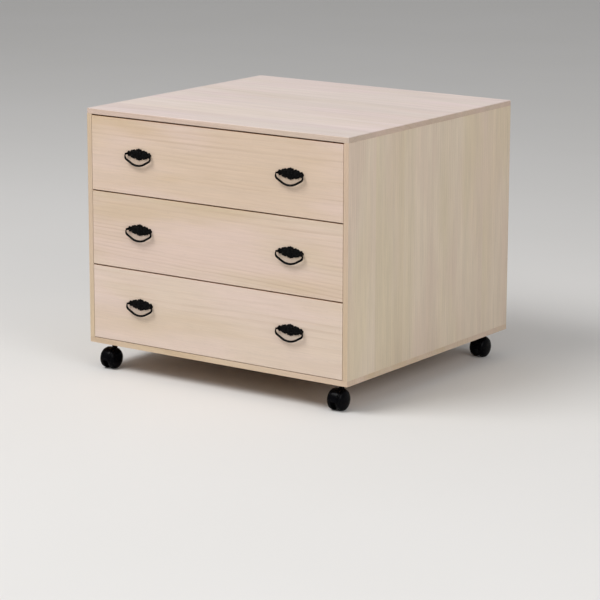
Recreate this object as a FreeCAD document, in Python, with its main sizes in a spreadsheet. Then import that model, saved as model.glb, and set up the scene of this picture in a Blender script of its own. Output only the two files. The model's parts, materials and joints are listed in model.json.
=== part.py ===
import FreeCAD, Part
import math
import os
import Sketcher

# A low chest of three drawers in pale board, on four ball casters.
# Millimetres, +Z up, the floor at zero, the front facing -Y and the width along X.
# The origin is on the floor, under the middle of the whole chest with its pulls.

SIZES = [
    ("width", 750, "carcass, side to side"),
    ("depth", 700, "carcass, front to back"),
    ("carcass_height", 570, "carcass without its casters"),
    ("board", 13, "top, bottom and side panels"),
    ("back_board", 6, "panel that closes the back"),
    ("caster_drop", 65, "floor to the underside of the carcass"),
    ("edge_ease", 1.2, "bevel that eases the arrises of the top panel"),
    ("top_gap", 3.5, "over the upper drawer front"),
    ("mid_gap", 3, "between one drawer front and the next"),
    ("bottom_gap", 1.5, "under the lower drawer front"),
    ("side_gap", 1, "beside each drawer"),
    ("rail_height", 13, "cross rail behind the gap between two fronts"),
    ("rail_depth", 45, "cross rail, front to back"),
    ("runner_width", 16, "wooden batten that a drawer side slides on"),
    ("run_gap", 0.3, "between a sliding piece and its seat"),
    ("front_board", 15, "drawer front"),
    ("side_board", 9, "drawer side"),
    ("tail_board", 9, "drawer back"),
    ("floor_board", 4, "drawer floor"),
    ("box_headroom", 7.4, "drawer side to the rail above it"),
    ("rabbet_depth", 9, "how far a drawer side is let into the front"),
    ("groove_depth", 4, "groove that holds the drawer floor"),
    ("groove_up", 8, "bottom edge of the box to the groove"),
    ("groove_play", 0.2, "height of the groove over the floor board"),
    ("floor_play", 0.5, "room for the floor board to swell in its groove"),
    ("rear_room", 25, "behind a closed drawer"),
    ("pull_inset", 157, "side of the carcass to the middle of a pull"),
    ("pull_rise", 8.5, "middle of the front up to the middle of a plate"),
    ("plate_length", 73, "cast plate, tip to tip"),
    ("plate_height", 28.4, "cast plate at its middle"),
    ("plate_rim", 1, "thickness of the plate at its edge"),
    ("plate_thick", 2.8, "thickness of the plate inside its bevel"),
    ("plate_bevel", 2.6, "width of the bevel round the plate"),
    ("boss_radius", 5.4, "round bud in the middle of the plate"),
    ("boss_height", 1.3, "bud above the plate"),
    ("hinge_out", 6.5, "drawer front to the axis of the bail"),
    ("lug_radius", 2.9, "round end of the lug that carries the bail"),
    ("lug_thick", 3.2, "lug, along the axis"),
    ("bail_span", 76.6, "between the middles of the two legs of the bail"),
    ("bail_leg", 5, "straight part of a leg below the axis"),
    ("bail_shoulder", 12, "radius where a leg turns into the grip"),
    ("bail_drop", 26, "axis to the middle of the bar at its lowest"),
    ("bar_thick", 3.7, "square bar of the bail"),
    ("ear_radius", 3.1, "round end of a leg"),
    ("ear_thick", 3.4, "round end of a leg, along the axis"),
    ("pin_radius", 1.5, "pin of the bail"),
    ("pin_length", 2.8, "pin of the bail, beyond its ear"),
    ("pin_play", 0.05, "radial room round each turning pin"),
    ("ear_gap", 0.4, "between an ear and its lug"),
    ("screw_span", 44, "between the two screws of a pull"),
    ("screw_radius", 2, "shank of a pull screw"),
    ("screw_play", 0.2, "radial room round a shank in the wood"),
    ("screw_bite", 1.6, "shank inside the plate"),
    ("screw_head", 4, "hexagon head of a screw, to its corners"),
    ("head_height", 2.4, "thickness of a screw head"),
    ("caster_side", 42, "swivel axis to the side of the carcass"),
    ("caster_end", 40, "swivel axis to the front or back of the carcass"),
    ("trail", 12, "swivel axis to the wheel axis"),
    ("wheel_radius", 25, "wheel at its tread"),
    ("wheel_tread", 8, "flat tread of a wheel"),
    ("cap_radius", 15, "flat cap of a wheel"),
    ("cap_out", 9, "tread to the cap, along the axle"),
    ("web_thick", 12.4, "core of the hood, between the wheels"),
    ("wheel_gap", 0.6, "between a wheel and the core"),
    ("fender_gap", 0.8, "between the tread and the hood over it"),
    ("fender_wall", 1.6, "wall of the hood over the wheels"),
    ("fender_over", 5, "hood beyond the core, over each tread"),
    ("fender_sweep", 190, "degrees of the wheel that the hood covers"),
    ("fender_start", 85, "degrees from straight down to the rear lip"),
    ("hub_radius", 6, "core round the axle"),
    ("axle_radius", 2.5, "steel axle"),
    ("axle_reach", 12, "axle inside each wheel"),
    ("fit_play", 0.03, "radial room in a turned fit"),
    ("neck_radius", 6, "round neck of the hood"),
    ("neck_top", 58, "floor to the top of the neck"),
    ("stem_radius", 4, "threaded stem"),
    ("stem_low", 36, "floor to the lower end of the stem"),
    ("stem_over", 0.6, "stem above the bottom panel"),
    ("collar_radius", 6.6, "hexagon collar of the stem, to its corners"),
    ("nut_radius", 5, "barrel of the nut sunk in the bottom panel"),
    ("flange_radius", 10, "hexagon flange of that nut, to its corners"),
    ("flange_thick", 1.2, "thickness of that flange"),
    ("overrun", 2, "how far a cut runs past what it cuts"),
]

doc = FreeCAD.newDocument("chest_of_drawers")
sizes = doc.addObject("Spreadsheet::Sheet", "sizes")
for row, (alias, value, meaning) in enumerate(SIZES, start=1):
    sizes.set(f"A{row}", meaning)
    sizes.set(f"B{row}", str(value))
    sizes.setAlias(f"B{row}", alias)
doc.recompute()

made = []


def worth(text):
    """The number that a size expression comes to."""
    return float(sizes.evalExpression(text))


# Places that several pieces share, as expressions on the sheet.
REACH = "(sizes.hinge_out + sizes.ear_radius)"
FRONT_Y = f"(({REACH} - sizes.depth) / 2)"
LEFT_X = "(-sizes.width / 2)"
INNER_X = f"({LEFT_X} + sizes.board)"
INNER_WIDTH = "(sizes.width - 2 * sizes.board)"
INNER_Z = "(sizes.caster_drop + sizes.board)"
INNER_HEIGHT = "(sizes.carcass_height - 2 * sizes.board)"
BACK_FACE_Y = f"({FRONT_Y} + sizes.depth - sizes.back_board)"
FRONT_HEIGHT = f"(({INNER_HEIGHT} - sizes.top_gap - 2 * sizes.mid_gap - sizes.bottom_gap) / 3)"
PITCH = f"({FRONT_HEIGHT} + sizes.mid_gap)"
LAP = "((sizes.rail_height - sizes.mid_gap) / 2)"
BOX_UP = f"({LAP} + sizes.run_gap)"
BOX_HEIGHT = f"({FRONT_HEIGHT} - {LAP} - {BOX_UP} - sizes.box_headroom)"
BOX_WIDTH = f"({INNER_WIDTH} - 2 * sizes.side_gap)"
BOX_X = f"({INNER_X} + sizes.side_gap)"
SIDE_Y = f"({FRONT_Y} + sizes.front_board - sizes.rabbet_depth)"
TAIL_Y = f"({BACK_FACE_Y} - sizes.rear_room - sizes.tail_board)"
SIDE_LENGTH = f"({TAIL_Y} + sizes.tail_board - {SIDE_Y})"
RAIL_Y = f"({FRONT_Y} + sizes.front_board + sizes.run_gap)"
PULL_X = "(sizes.width / 2 - sizes.pull_inset)"
LEVELS = ("lower", "middle", "upper")
FINGERS = 5


# Ways of making a piece

def finish(piece, label):
    piece.Label = label
    made.append(piece)
    return piece


def place(piece, x, y, z, rotation=None):
    """Put a piece at expressions for its corner or centre."""
    if rotation is not None:
        piece.Placement = FreeCAD.Placement(FreeCAD.Vector(), rotation)
    for axis, text in zip("xyz", (x, y, z)):
        piece.setExpression(f"Placement.Base.{axis}", text)
    return piece


def new_body(label, x, y, z, rotation=None):
    body = doc.addObject("PartDesign::Body", label)
    return place(body, x, y, z, rotation)


def sketch_on(body, role, name, offset="0"):
    """A sketch on one of the body's own origin planes, moved along its normal."""
    sketch = body.newObject("Sketcher::SketchObject", f"{body.Name}_{name}")
    plane = next(item for item in body.Origin.OriginFeatures if item.Role == role)
    sketch.AttachmentSupport = [(plane, "")]
    sketch.MapMode = "FlatFace"
    if offset != "0":
        sketch.setExpression("AttachmentOffset.Base.z", offset)
    return sketch


def pin_down(sketch, geometry, point, x, y):
    """Fix a point of the sketch at two expressions."""
    for kind, text, axis in (("DistanceX", x, -2), ("DistanceY", y, -1)):
        if text == "0":
            sketch.addConstraint(Sketcher.Constraint("PointOnObject", geometry, point, axis))
        else:
            index = sketch.addConstraint(
                Sketcher.Constraint(kind, -1, 1, geometry, point, worth(text)))
            sketch.setExpression(f"Constraints[{index}]", text)


def arc_between(start, end, rise):
    """The arc from start to end that stands rise to the right of the chord."""
    chord = end - start
    middle = (start + end) * 0.5
    aside = FreeCAD.Vector(chord.y, -chord.x, 0).normalize()
    return Part.Arc(start, middle + aside * rise, end)


def half_turn(start, end, rise):
    """Whether an arc over an upright chord is a half circle, fixed by its centre."""
    chord = (end - start).Length
    return math.isclose(rise, chord / 2) and math.isclose(start.x, end.x)


def outline(sketch, corners):
    """A closed outline. A corner is (x, y) or (x, y, rise of the arc to the next corner)."""
    first = sketch.GeometryCount
    total = len(corners)
    points = [FreeCAD.Vector(worth(c[0]), worth(c[1]), 0) for c in corners]
    for k, corner in enumerate(corners):
        after = points[(k + 1) % total]
        if len(corner) == 2:
            sketch.addGeometry(Part.LineSegment(points[k], after), False)
        else:
            sketch.addGeometry(arc_between(points[k], after, worth(corner[2])), False)
    # an arc is stored anticlockwise, as these outlines run, so point 1 is its start
    for k in range(total):
        following = first + (k + 1) % total
        sketch.addConstraint(Sketcher.Constraint("Coincident", first + k, 2, following, 1))
    for k, corner in enumerate(corners):
        pin_down(sketch, first + k, 1, corner[0], corner[1])
        if len(corner) == 3:
            ahead = corners[(k + 1) % total]
            if half_turn(points[k], points[(k + 1) % total], worth(corner[2])):
                index = sketch.addConstraint(
                    Sketcher.Constraint("DistanceX", -1, 1, first + k, 3, worth(corner[0])))
                sketch.setExpression(f"Constraints[{index}]", corner[0])
                continue
            square = f"(({ahead[0]}) - ({corner[0]}))^2 + (({ahead[1]}) - ({corner[1]}))^2"
            radius = f"sqrt(({square}) / 4 + ({corner[2]})^2) ^ 2 / (2 * ({corner[2]}))"
            index = sketch.addConstraint(
                Sketcher.Constraint("Radius", first + k, worth(radius)))
            sketch.setExpression(f"Constraints[{index}]", radius)


def rectangle(sketch, left, low, right, high):
    outline(sketch, [(left, low), (right, low), (right, high), (left, high)])


def circle(sketch, x, y, radius):
    centre = FreeCAD.Vector(worth(x), worth(y), 0)
    index = sketch.addGeometry(
        Part.Circle(centre, FreeCAD.Vector(0, 0, 1), worth(radius)), False)
    pin_down(sketch, index, 3, x, y)
    datum = sketch.addConstraint(Sketcher.Constraint("Radius", index, worth(radius)))
    sketch.setExpression(f"Constraints[{datum}]", radius)


def pad(body, sketch, length, reverse=False):
    feature = body.newObject("PartDesign::Pad", f"{sketch.Name}_pad")
    feature.Profile = sketch
    feature.setExpression("Length", length)
    feature.Reversed = reverse
    return feature


def pocket(body, sketch, length, reverse=False):
    """A cut, checked to have taken something away."""
    doc.recompute()
    before = body.Shape.Volume
    feature = body.newObject("PartDesign::Pocket", f"{sketch.Name}_pocket")
    feature.Profile = sketch
    feature.setExpression("Length", length)
    feature.Reversed = reverse
    doc.recompute()
    if not body.Shape.Volume < before:
        raise RuntimeError(f"{feature.Name} cut nothing")
    return feature


def board(label, corner, across, back, up):
    """A plain board from its front lower left corner."""
    body = finish(new_body(label, *corner), label)
    face = sketch_on(body, "XY_Plane", "face")
    rectangle(face, "0", "0", across, back)
    pad(body, face, up)
    return body


def ease_edges(body, size, chosen):
    """Bevel the edges that the test picks."""
    doc.recompute()
    solid = body.Tip
    names = []
    for number, edge in enumerate(solid.Shape.Edges, start=1):
        if chosen(edge):
            names.append(f"Edge{number}")
    feature = body.newObject("PartDesign::Chamfer", f"{body.Name}_eased")
    feature.Base = (solid, names)
    feature.setExpression("Size", size)
    doc.recompute()


def rod(name, radius, length, x, y, z, rotation=None, angle=None):
    """A plain cylinder that is part of a turned or drilled piece."""
    piece = doc.addObject("Part::Cylinder", name)
    piece.setExpression("Radius", radius)
    piece.setExpression("Height", length)
    if angle is not None:
        piece.setExpression("Angle", angle)
    return place(piece, x, y, z, rotation)


def hexagon(name, corner_radius, length, x, y, z, rotation=None):
    """A hexagon bar that is part of a screw or nut."""
    piece = doc.addObject("Part::Prism", name)
    piece.Polygon = 6
    piece.setExpression("Circumradius", corner_radius)
    piece.setExpression("Height", length)
    return place(piece, x, y, z, rotation)


def joined(name, pieces):
    fuse = doc.addObject("Part::MultiFuse", name)
    fuse.Shapes = pieces
    return fuse


def less(name, base, tool):
    cut = doc.addObject("Part::Cut", name)
    cut.Base = base
    cut.Tool = tool
    return cut


def group(label, pieces):
    """Identical loose pieces that share one node."""
    compound = doc.addObject("Part::Compound", label)
    compound.Links = pieces
    return finish(compound, label)


ALONG_X = FreeCAD.Rotation(FreeCAD.Vector(0, 1, 0), 90)
ALONG_Y = FreeCAD.Rotation(FreeCAD.Vector(1, 0, 0), -90)
HALF_TURN = FreeCAD.Rotation(FreeCAD.Vector(0, 0, 1), 180)


# Casters: where they stand
def corner_places():
    """Name and swivel axis of each caster."""
    near = f"({FRONT_Y} + sizes.caster_end)"
    far = f"({FRONT_Y} + sizes.depth - sizes.caster_end)"
    right = "(sizes.width / 2 - sizes.caster_side)"
    left = f"(-{right})"
    return [("front_left", left, near), ("front_right", right, near),
            ("rear_left", left, far), ("rear_right", right, far)]


# Carcass
def carcass():
    top_z = "(sizes.caster_drop + sizes.carcass_height - sizes.board)"
    bottom = board("bottom_panel", (LEFT_X, FRONT_Y, "sizes.caster_drop"),
                   "sizes.width", "sizes.depth", "sizes.board")
    holes = sketch_on(bottom, "XY_Plane", "nut_holes")
    for name, x, y in corner_places():
        circle(holes, f"({x} - {LEFT_X})", f"({y} - {FRONT_Y})",
               "sizes.nut_radius + sizes.fit_play")
    pocket(bottom, holes, "sizes.board + sizes.overrun", reverse=True)

    top = board("top_panel", (LEFT_X, FRONT_Y, top_z),
                "sizes.width", "sizes.depth", "sizes.board")
    wide = worth("sizes.width")
    deep = worth("sizes.depth")
    thick = worth("sizes.board")

    def on_top_rim(edge):
        box = edge.BoundBox
        return box.ZMin > thick / 2

    def on_end_grain(edge):
        box = edge.BoundBox
        upright = box.ZLength > thick / 2
        outer_x = min(abs(box.XMin), abs(box.XMin - wide)) < thick / 2
        outer_y = min(abs(box.YMin), abs(box.YMin - deep)) < thick / 2
        return upright and outer_x and outer_y

    ease_edges(top, "sizes.edge_ease", lambda edge: on_top_rim(edge) or on_end_grain(edge))

    for side, x in (("left", LEFT_X), ("right", "(sizes.width / 2 - sizes.board)")):
        board(f"{side}_side_panel", (x, FRONT_Y, INNER_Z),
              "sizes.board", "sizes.depth", INNER_HEIGHT)
    board("back_panel", (INNER_X, BACK_FACE_Y, INNER_Z),
          INNER_WIDTH, "sizes.back_board", INNER_HEIGHT)


def gap_middle(level):
    """Height of the middle of the gap under the drawer at this level."""
    return f"({INNER_Z} + sizes.bottom_gap + {level} * {PITCH} - sizes.mid_gap / 2)"


def rails_and_runners():
    for level in (1, 2):
        low = f"({gap_middle(level)} - sizes.rail_height / 2)"
        board(f"{LEVELS[level]}_front_rail", (INNER_X, RAIL_Y, low),
              INNER_WIDTH, "sizes.rail_depth", "sizes.rail_height")
    for level, name in enumerate(LEVELS):
        if level == 0:
            low = INNER_Z
            near = RAIL_Y
            tall = f"(sizes.bottom_gap + {LAP})"
        else:
            low = f"({gap_middle(level)} - sizes.rail_height / 2)"
            near = f"({RAIL_Y} + sizes.rail_depth)"
            tall = "sizes.rail_height"
        pair = []
        for side, x in (("left", INNER_X),
                        ("right", f"(-{INNER_X} - sizes.runner_width)")):
            batten = doc.addObject("Part::Box", f"{name}_{side}_batten")
            batten.setExpression("Length", "sizes.runner_width")
            batten.setExpression("Width", f"{BACK_FACE_Y} - {near}")
            batten.setExpression("Height", tall)
            pair.append(place(batten, x, near, low))
        group(f"{name}_runners", pair)


# Drawers
def front_low(level):
    return f"({INNER_Z} + sizes.bottom_gap + {level} * {PITCH})"


def floor_slot(body, left, near, right, far, up):
    """The groove that the drawer floor sits in."""
    slot = sketch_on(body, "XY_Plane", "slot", up)
    rectangle(slot, left, near, right, far)
    pocket(body, slot, "sizes.floor_board + sizes.groove_play", reverse=True)


def drawer_front(name, level):
    body = board(f"{name}_drawer_front", (BOX_X, FRONT_Y, front_low(level)),
                 BOX_WIDTH, "sizes.front_board", FRONT_HEIGHT)
    rabbets = sketch_on(body, "XY_Plane", "rabbets", BOX_UP)
    near = "(sizes.front_board - sizes.rabbet_depth)"
    far = "(sizes.front_board + sizes.overrun)"
    rectangle(rabbets, "(-sizes.overrun)", near, "sizes.side_board", far)
    rectangle(rabbets, f"({BOX_WIDTH} - sizes.side_board)", near,
              f"({BOX_WIDTH} + sizes.overrun)", far)
    pocket(body, rabbets, BOX_HEIGHT, reverse=True)
    floor_slot(body, "sizes.side_board", "(sizes.front_board - sizes.groove_depth)",
               f"({BOX_WIDTH} - sizes.side_board)", far, f"({BOX_UP} + sizes.groove_up)")
    holes = sketch_on(body, "XZ_Plane", "screw_holes")
    for sign in ("+", "-"):
        for turn in ("+", "-"):
            middle = f"({BOX_WIDTH} / 2 {sign} {PULL_X} {turn} sizes.screw_span / 2)"
            circle(holes, middle, f"({FRONT_HEIGHT} / 2 + sizes.pull_rise)",
                   "sizes.screw_radius + sizes.screw_play")
    pocket(body, holes, "sizes.front_board + sizes.overrun")


def finger(number):
    """Lower and upper edge of one finger of the corner joint."""
    return (f"({number} * {BOX_HEIGHT} / {FINGERS})",
            f"({number + 1} * {BOX_HEIGHT} / {FINGERS})")


def drawer_side(name, side, level):
    x = BOX_X if side == "left" else f"({BOX_X} + {BOX_WIDTH} - sizes.side_board)"
    body = board(f"{name}_drawer_{side}_side", (x, SIDE_Y, f"({front_low(level)} + {BOX_UP})"),
                 "sizes.side_board", SIDE_LENGTH, BOX_HEIGHT)
    if side == "left":
        near_x = "(sizes.side_board - sizes.groove_depth)"
        far_x = "(sizes.side_board + sizes.overrun)"
    else:
        near_x = "(-sizes.overrun)"
        far_x = "sizes.groove_depth"
    floor_slot(body, near_x, "(-sizes.overrun)", far_x,
               f"({SIDE_LENGTH} + sizes.overrun)", "sizes.groove_up")
    sockets = sketch_on(body, "YZ_Plane", "sockets")
    for number in range(1, FINGERS, 2):
        low, high = finger(number)
        rectangle(sockets, f"({SIDE_LENGTH} - sizes.tail_board)", low,
                  f"({SIDE_LENGTH} + sizes.overrun)", high)
    pocket(body, sockets, "sizes.side_board + sizes.overrun", reverse=True)


def drawer_back(name, level):
    body = board(f"{name}_drawer_back", (BOX_X, TAIL_Y, f"({front_low(level)} + {BOX_UP})"),
                 BOX_WIDTH, "sizes.tail_board", BOX_HEIGHT)
    sockets = sketch_on(body, "XZ_Plane", "sockets")
    for number in range(0, FINGERS, 2):
        low, high = finger(number)
        if number == 0:
            low = "(-sizes.overrun)"
        if number == FINGERS - 1:
            high = f"({BOX_HEIGHT} + sizes.overrun)"
        rectangle(sockets, "(-sizes.overrun)", low, "sizes.side_board", high)
        rectangle(sockets, f"({BOX_WIDTH} - sizes.side_board)", low,
                  f"({BOX_WIDTH} + sizes.overrun)", high)
    pocket(body, sockets, "sizes.tail_board + sizes.overrun")
    floor_slot(body, "(-sizes.overrun)", "(-sizes.overrun)",
               f"({BOX_WIDTH} + sizes.overrun)", "sizes.groove_depth", "sizes.groove_up")


def drawer_floor(name, level):
    tongue = "(sizes.groove_depth - sizes.floor_play)"
    near = f"({FRONT_Y} + sizes.front_board - {tongue})"
    low = f"({front_low(level)} + {BOX_UP} + sizes.groove_up)"
    board(f"{name}_drawer_floor", (f"({BOX_X} + sizes.side_board - {tongue})", near, low),
          f"({BOX_WIDTH} - 2 * sizes.side_board + 2 * {tongue})",
          f"({TAIL_Y} + {tongue} - {near})", "sizes.floor_board")


# Pulls
def plate_lobes(inset):
    """The lobed outline of the plate, anticlockwise, moved in by an expression."""
    half = f"(sizes.plate_length / 2 - {inset})"
    tall = f"(sizes.plate_height / 2 - {inset})"
    cusp_shares = [(0.73, -0.42), (0.73, 0.42), (0.27, 0.74),
                   (-0.27, 0.74), (-0.73, 0.42), (-0.73, -0.42),
                   (-0.27, -0.74), (0.27, -0.74)]
    end_rise = f"(0.27 * {half})"
    side_rise = f"(0.16 * {tall})"
    tip_rise = f"(0.26 * {tall})"
    rises = [end_rise, side_rise, tip_rise, side_rise,
             end_rise, side_rise, tip_rise, side_rise]
    return [(f"({across} * {half})", f"({up} * {tall})", rise)
            for (across, up), rise in zip(cusp_shares, rises)]


def pull_plate(label, x, z):
    """The cast plate: a rim, a bevel, a bud in the middle and a lug at each end."""
    body = new_body(label, x, FRONT_Y, z)
    rim = sketch_on(body, "XZ_Plane", "rim")
    outline(rim, plate_lobes("0"))
    pad(body, rim, "sizes.plate_rim")
    foot = sketch_on(body, "XZ_Plane", "bevel_foot", "sizes.plate_rim")
    outline(foot, plate_lobes("0"))
    crest = sketch_on(body, "XZ_Plane", "bevel_crest", "sizes.plate_thick")
    outline(crest, plate_lobes("sizes.plate_bevel"))
    bevel = body.newObject("PartDesign::AdditiveLoft", f"{body.Name}_bevel")
    bevel.Profile = foot
    bevel.Sections = [crest]
    bevel.Ruled = True
    bud = sketch_on(body, "XZ_Plane", "bud")
    circle(bud, "0", "0", "sizes.boss_radius")
    pad(body, bud, "sizes.plate_thick + sizes.boss_height")
    outer = "(sizes.bail_span / 2 - sizes.ear_thick / 2 - sizes.ear_gap)"
    for side, start in (("right", f"({outer} - sizes.lug_thick)"), ("left", f"(-{outer})")):
        lug = sketch_on(body, "YZ_Plane", f"{side}_lug", start)
        outline(lug, [("(-sizes.hinge_out)", "(-sizes.lug_radius)"),
                      ("0", "(-sizes.lug_radius)"),
                      ("0", "sizes.lug_radius"),
                      ("(-sizes.hinge_out)", "sizes.lug_radius", "sizes.lug_radius")])
        pad(body, lug, "sizes.lug_thick")
        eye = sketch_on(body, "YZ_Plane", f"{side}_eye", start)
        circle(eye, "(-sizes.hinge_out)", "0", "sizes.pin_radius + sizes.pin_play")
        pocket(body, eye, "sizes.lug_thick", reverse=True)
    bite = sketch_on(body, "XZ_Plane", "screw_bite")
    for turn in ("", "-"):
        circle(bite, f"({turn}sizes.screw_span / 2)", "0",
               "sizes.screw_radius + sizes.fit_play")
    pocket(body, bite, "sizes.screw_bite + sizes.run_gap", reverse=True)
    return body


def bail(label, x, z):
    """The bar that hangs from the plate: two legs, two shoulders and a long low grip."""
    body = finish(new_body(label, x, f"({FRONT_Y} - sizes.hinge_out)", z), label)
    half = "(sizes.bail_span / 2)"
    shoulder = "sizes.bail_shoulder"
    inward = f"({half} - {shoulder})"
    below = f"(sizes.bail_drop - sizes.bail_leg - {shoulder})"
    grip = f"({shoulder} + ({inward}^2 + {below}^2) / (2 * {below}))"
    grip_centre = worth(f"{grip} - sizes.bail_drop")
    turn = math.acos(worth(inward) / worth(f"({grip} - {shoulder})"))
    leg = worth("sizes.bail_leg")
    spread = worth(half)
    up = FreeCAD.Vector(0, 0, 1)

    path = sketch_on(body, "XZ_Plane", "path")
    corner = worth(shoulder)
    right = Part.Circle(FreeCAD.Vector(spread - corner, -leg, 0), up, corner)
    left = Part.Circle(FreeCAD.Vector(corner - spread, -leg, 0), up, corner)
    middle = Part.Circle(FreeCAD.Vector(0, grip_centre, 0), up, worth(grip))
    path.addGeometry(Part.LineSegment(FreeCAD.Vector(spread, 0, 0),
                                      FreeCAD.Vector(spread, -leg, 0)), False)
    path.addGeometry(Part.ArcOfCircle(right, -turn, 0), False)
    path.addGeometry(Part.ArcOfCircle(middle, -math.pi + turn, -turn), False)
    path.addGeometry(Part.ArcOfCircle(left, -math.pi, -math.pi + turn), False)
    path.addGeometry(Part.LineSegment(FreeCAD.Vector(-spread, -leg, 0),
                                      FreeCAD.Vector(-spread, 0, 0)), False)
    for first, end, second, start in ((0, 2, 1, 2), (1, 1, 2, 2), (2, 1, 3, 2), (3, 1, 4, 1)):
        path.addConstraint(Sketcher.Constraint("Tangent", first, end, second, start))
    pin_down(path, 0, 1, half, "0")
    pin_down(path, 0, 2, half, "(-sizes.bail_leg)")
    pin_down(path, 4, 2, f"(-{half})", "0")
    pin_down(path, 4, 1, f"(-{half})", "(-sizes.bail_leg)")
    for arc, radius in ((1, shoulder), (3, shoulder)):
        index = path.addConstraint(Sketcher.Constraint("Radius", arc, worth(radius)))
        path.setExpression(f"Constraints[{index}]", radius)

    section = sketch_on(body, "XY_Plane", "section")
    side = "(sizes.bar_thick / 2)"
    rectangle(section, f"({half} - {side})", f"(-{side})", f"({half} + {side})", side)
    bar = body.newObject("PartDesign::AdditivePipe", f"{body.Name}_bar")
    bar.Profile = section
    bar.Spine = (path, [f"Edge{number}" for number in range(1, 6)])

    inner = f"({half} - sizes.ear_thick / 2)"
    for name, start, length, radius in (
            ("right_ear", inner, "sizes.ear_thick", "sizes.ear_radius"),
            ("left_ear", f"(-{half} - sizes.ear_thick / 2)", "sizes.ear_thick",
             "sizes.ear_radius"),
            ("right_pin", f"({inner} - sizes.pin_length)",
             "(sizes.pin_length + sizes.ear_thick / 2)", "sizes.pin_radius"),
            ("left_pin", f"(-{half})", "(sizes.pin_length + sizes.ear_thick / 2)",
             "sizes.pin_radius")):
        round_end = sketch_on(body, "YZ_Plane", name, start)
        circle(round_end, "0", "0", radius)
        pad(body, round_end, length)


def pull_screws(name, level):
    """The screws that hold the plates of one drawer, driven from inside it."""
    screws = []
    high = f"({front_low(level)} + {FRONT_HEIGHT} / 2 + sizes.pull_rise)"
    inside = f"({FRONT_Y} + sizes.front_board)"
    number = 0
    for sign in ("-", ""):
        for turn in ("-", "+"):
            number += 1
            x = f"({sign}{PULL_X} {turn} sizes.screw_span / 2)"
            shank = rod(f"{name}_shank_{number}", "sizes.screw_radius",
                        "sizes.screw_bite + sizes.front_board + sizes.head_height / 2",
                        x, f"({FRONT_Y} - sizes.screw_bite)", high, ALONG_Y)
            head = hexagon(f"{name}_head_{number}", "sizes.screw_head",
                           "sizes.head_height", x, inside, high, ALONG_Y)
            screws.append(joined(f"{name}_screw_{number}", [shank, head]))
    group(f"{name}_pull_screws", screws)


def drawers():
    for level, name in enumerate(LEVELS):
        drawer_front(name, level)
        drawer_side(name, "left", level)
        drawer_side(name, "right", level)
        drawer_back(name, level)
        drawer_floor(name, level)
        high = f"({front_low(level)} + {FRONT_HEIGHT} / 2 + sizes.pull_rise)"
        plates = []
        for side, x in (("left", f"(-{PULL_X})"), ("right", PULL_X)):
            plates.append(pull_plate(f"{name}_{side}_plate", x, high))
            bail(f"{name}_{side}_bail", x, high)
        group(f"{name}_pull_plates", plates)
        pull_screws(name, level)


# Casters
def caster_fixings():
    """The threaded stems and the nuts sunk in the bottom panel, one of each at a corner."""
    stems = []
    nuts = []
    collar_low = "(sizes.neck_top + sizes.run_gap)"
    for name, x, y in corner_places():
        stem = rod(f"{name}_stem_rod", "sizes.stem_radius",
                   f"{INNER_Z} + sizes.stem_over - sizes.stem_low", x, y, "sizes.stem_low")
        collar = hexagon(f"{name}_stem_collar", "sizes.collar_radius",
                         f"sizes.caster_drop - {collar_low}", x, y, collar_low)
        stems.append(joined(f"{name}_stem", [stem, collar]))
        barrel = rod(f"{name}_nut_barrel", "sizes.nut_radius", "sizes.board",
                     x, y, "sizes.caster_drop")
        flange = hexagon(f"{name}_nut_flange", "sizes.flange_radius", "sizes.flange_thick",
                         x, y, INNER_Z)
        thread = rod(f"{name}_nut_thread", "sizes.stem_radius + sizes.fit_play",
                     "sizes.board + sizes.flange_thick + 2 * sizes.overrun",
                     x, y, "(sizes.caster_drop - sizes.overrun)")
        nuts.append(less(f"{name}_nut", joined(f"{name}_nut_blank", [barrel, flange]), thread))
    group("caster_stems", stems)
    group("caster_nuts", nuts)


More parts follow.
